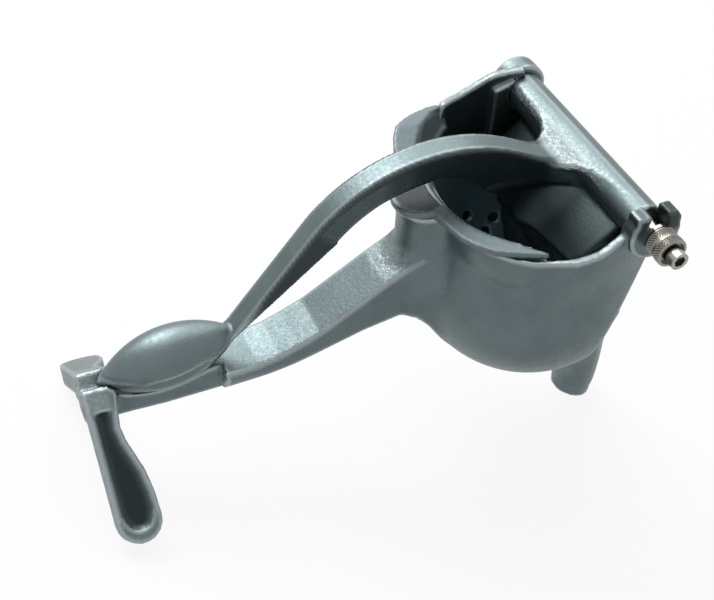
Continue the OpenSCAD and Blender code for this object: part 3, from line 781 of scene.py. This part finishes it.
index = add(knurl, "GeometryNodeInputIndex")
total = add(knurl, "ShaderNodeMath", [(0, given, "Count"), (1, given, "Rows")], operation="MULTIPLY")
wound = add(knurl, "ShaderNodeMath", [(0, index, 0), (1, given, "Count")], operation="DIVIDE")
row = add(knurl, "ShaderNodeMath", [(0, wound, 0)], operation="FLOOR")
odd = add(knurl, "ShaderNodeMath", [(0, row, 0)], [(1, 2.0)], operation="MODULO")
stagger = add(knurl, "ShaderNodeMath", [(0, odd, 0), (2, index, 0)], [(1, 0.5)], operation="MULTIPLY_ADD")
turned = add(knurl, "ShaderNodeMath", [(0, stagger, 0), (1, given, "Count")], operation="DIVIDE")
angle = add(knurl, "ShaderNodeMath", [(0, turned, 0)], [(1, 2.0 * math.pi)], operation="MULTIPLY")
middle = add(knurl, "ShaderNodeMath", [(0, row, 0)], [(1, 0.5)], operation="ADD")
level = add(knurl, "ShaderNodeMath", [(0, middle, 0), (1, given, "Rows")], operation="DIVIDE")
down = add(knurl, "ShaderNodeMath", [(0, level, 0), (1, given, "Length")], operation="MULTIPLY")
along = add(knurl, "ShaderNodeMath", [(0, given, "Start"), (1, down, 0)], operation="SUBTRACT")
inner = add(knurl, "ShaderNodeMath", [(0, given, "Radius"), (1, given, "Depth")], operation="SUBTRACT")
cosine = add(knurl, "ShaderNodeMath", [(0, angle, 0)], operation="COSINE")
sine = add(knurl, "ShaderNodeMath", [(0, angle, 0)], operation="SINE")
out = add(knurl, "ShaderNodeCombineXYZ", [("X", cosine, 0), ("Z", sine, 0)])
place_x = add(knurl, "ShaderNodeMath", [(0, cosine, 0), (1, inner, 0)], operation="MULTIPLY")
place_z = add(knurl, "ShaderNodeMath", [(0, sine, 0), (1, inner, 0)], operation="MULTIPLY")
where = add(knurl, "ShaderNodeCombineXYZ", [("X", place_x, 0), ("Y", along, 0), ("Z", place_z, 0)])
centred = add(knurl, "ShaderNodeVectorMath", [(0, where, 0), (1, given, "Centre")], operation="ADD")
dots = add(knurl, "GeometryNodePoints", [("Count", total, 0), ("Position", centred, 0)])
pitch = add(knurl, "ShaderNodeMath", [(0, given, "Radius"), (1, given, "Count")], operation="DIVIDE")
wide = add(knurl, "ShaderNodeMath", [(0, pitch, 0)], [(1, math.pi)], operation="MULTIPLY")
pyramid = add(knurl, "GeometryNodeMeshCone", [("Radius Bottom", wide, 0), ("Depth", given, "Depth")],
              fill_type="NGON", Vertices=4, Radius_Top=0.00006)
facing = add(knurl, "FunctionNodeAxesToRotation", [("Primary Axis", out, 0)],
             [("Secondary Axis", (0.0, 1.0, 0.0))], primary_axis="Z", secondary_axis="X")
placed = add(knurl, "GeometryNodeInstanceOnPoints", [("Points", dots, 0), ("Instance", pyramid, 0),
                                                     ("Rotation", facing, 0)])
joined = add(knurl, "GeometryNodeJoinGeometry", [("Geometry", placed, 0), ("Geometry", given, "Geometry")])
real = add(knurl, "GeometryNodeRealizeInstances", [("Geometry", joined, 0)])
painted = add(knurl, "GeometryNodeSetMaterial", [("Geometry", real, 0), ("Material", given, "Material")])
add(knurl, "NodeGroupOutput", [("Geometry", painted, 0)])

for start in (0.3, band_two + 0.1):
    wrap = nut.modifiers.new("knurl", "NODES")
    wrap.node_group = knurl
    sizes = {"Radius": nut_r / 1000, "Length": (band_len - 0.7) / 1000, "Start": -start / 1000,
             "Count": knurl_count, "Rows": knurl_rows, "Depth": knurl_depth / 1000, "Material": nut_metal,
             "Centre": (pin_place[0] / 1000, (pin_place[1] + nut_y) / 1000, pin_place[2] / 1000)}
    for socket in knurl.interface.items_tree:
        if socket.name in sizes:
            wrap[socket.identifier] = sizes[socket.name]
evaluated = nut.evaluated_get(bpy.context.evaluated_depsgraph_get())
knurled = bpy.data.meshes.new_from_object(evaluated)
nut.modifiers.clear()
nut.data = knurled
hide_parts("clamp_nut")
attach(nut, "nut")
